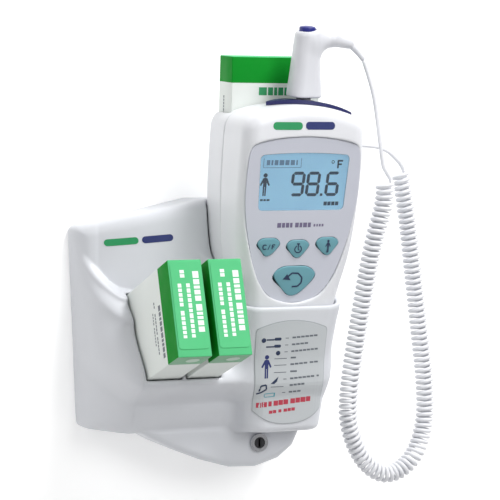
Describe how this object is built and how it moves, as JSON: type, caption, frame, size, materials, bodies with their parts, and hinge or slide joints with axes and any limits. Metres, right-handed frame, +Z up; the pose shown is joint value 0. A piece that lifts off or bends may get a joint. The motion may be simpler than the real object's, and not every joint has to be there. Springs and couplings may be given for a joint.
{
  "type": "wall-mounted digital thermometer",
  "caption": "Wall-mounted digital thermometer with a keypad and display, a probe on a curly cord, a locking cradle and cartons of probe covers.",
  "frame": {"origin": "centre of the four wall-screw holes on the back face of the wall plate", "axes": "+Z up, +X to the right as seen from the front, the front faces -Y and the wall is the plane y = 0"},
  "size_m": [0.2287, 0.129, 0.2926],
  "materials": {
    "mount_white": "fine moulded texture, satin",
    "housing_white": "fine moulded texture, satin",
    "steel": "plated",
    "chrome": "bright plated",
    "polished_steel": "polished",
    "lock_black": "satin black",
    "label": "printed film",
    "carton": "printed paperboard",
    "cover_clear": "thin moulded film",
    "faceplate_grey": "satin film",
    "lens_clear": "clear, slightly tinted",
    "lcd_blue": "display glass",
    "backlight": "diffuser",
    "board_green": "solder mask",
    "chip_black": "moulded",
    "keypad_rubber": "silicone",
    "cell": "printed jacket",
    "inner_black": "moulded",
    "probe_white": "smooth moulded",
    "navy": "smooth moulded",
    "button_teal": "silicone",
    "eject_blue": "smooth moulded",
    "cord_white": "smooth vinyl"
  },
  "bodies": {
    "wall_mount": {"mount_shell": "mount_white", "wall_plate": "mount_white", "shell_screws": "steel", "cradle_label": "label", "lock_body": "chrome", "lock_nut": "steel"},
    "lock_core": {"lock_plug": "lock_black", "lock_cam": "steel", "lock_cam_screw": "steel"},
    "bay_box_left": {"bay_carton_left": "carton", "bay_carton_left_covers": "cover_clear"},
    "bay_box_right": {"bay_carton_right": "carton", "bay_carton_right_covers": "cover_clear"},
    "thermometer": {"front_housing": "housing_white", "rear_housing": "housing_white", "faceplate": "faceplate_grey", "lcd_lens": "lens_clear", "lcd_panel": "lcd_blue", "lcd_backlight": "backlight", "main_board": "board_green", "board_chips": "chip_black", "keypad_mat": "keypad_rubber", "battery_door": "housing_white", "battery_door_screw": "steel", "batteries": "cell", "battery_tray": "inner_black", "battery_contacts": "steel", "housing_screws": "steel", "beeper": "chip_black", "probe_socket": "inner_black", "probe_plug": "probe_white", "probe_well": "navy", "carton_chamber": "housing_white", "cord_lead_probe": "cord_white", "cord_coil": "cord_white", "cord_lead_device": "cord_white"},
    "rear_box": {"rear_carton": "carton", "rear_carton_covers": "cover_clear"},
    "pulse_key": {"button_pulse": "button_teal"},
    "unit_key": {"button_unit": "button_teal"},
    "mode_key": {"button_mode": "button_teal"},
    "recall_key": {"button_recall": "button_teal"},
    "probe": {"probe_handle": "probe_white", "probe_shaft": "polished_steel", "probe_tip": "polished_steel", "probe_strain_relief": "probe_white", "eject_spring": "steel"},
    "ejector": {"eject_button": "eject_blue", "ejector_collar": "probe_white"}
  },
  "joints": [
    {"name": "thermometer_lift", "type": "slide", "parent": "wall_mount", "child": "thermometer", "axis": [0, 0, 1], "range_m": [0, 0.1]},
    {"name": "probe_lift", "type": "slide", "parent": "thermometer", "child": "probe", "axis": [0, -0.1392, 0.9903], "range_m": [0, 0.115]},
    {"name": "eject_press", "type": "slide", "parent": "probe", "child": "ejector", "axis": [0, 0.1392, -0.9903], "range_m": [0, 0.002], "stiffness_N_per_m": 500, "springref_m": -0.002, "deforming": ["eject_spring"]},
    {"name": "rear_carton_lift", "type": "slide", "parent": "thermometer", "child": "rear_box", "axis": [0, -0.0785, 0.9969], "range_m": [0, 0.105]},
    {"name": "bay_left_slide", "type": "slide", "parent": "wall_mount", "child": "bay_box_left", "axis": [0, -0.9455, 0.3256], "range_m": [0, 0.105]},
    {"name": "bay_right_slide", "type": "slide", "parent": "wall_mount", "child": "bay_box_right", "axis": [0, -0.9455, 0.3256], "range_m": [0, 0.105]},
    {"name": "lock_turn", "type": "hinge", "parent": "wall_mount", "child": "lock_core", "pos_m": [0.0289, -0.0511, -0.079], "axis": [0, -1, 0], "range_deg": [0, 90]},
    {"name": "pulse_press", "type": "slide", "parent": "thermometer", "child": "pulse_key", "axis": [0, 0.9756, 0.2195], "range_m": [0, 0.001], "stiffness_N_per_m": 600, "springref_m": -0.001},
    {"name": "unit_press", "type": "slide", "parent": "thermometer", "child": "unit_key", "axis": [0, 0.9756, 0.2195], "range_m": [0, 0.001], "stiffness_N_per_m": 600, "springref_m": -0.001},
    {"name": "mode_press", "type": "slide", "parent": "thermometer", "child": "mode_key", "axis": [0, 0.9756, 0.2195], "range_m": [0, 0.001], "stiffness_N_per_m": 600, "springref_m": -0.001},
    {"name": "recall_press", "type": "slide", "parent": "thermometer", "child": "recall_key", "axis": [0, 0.9756, 0.2195], "range_m": [0, 0.001], "stiffness_N_per_m": 600, "springref_m": -0.001}
  ]
}
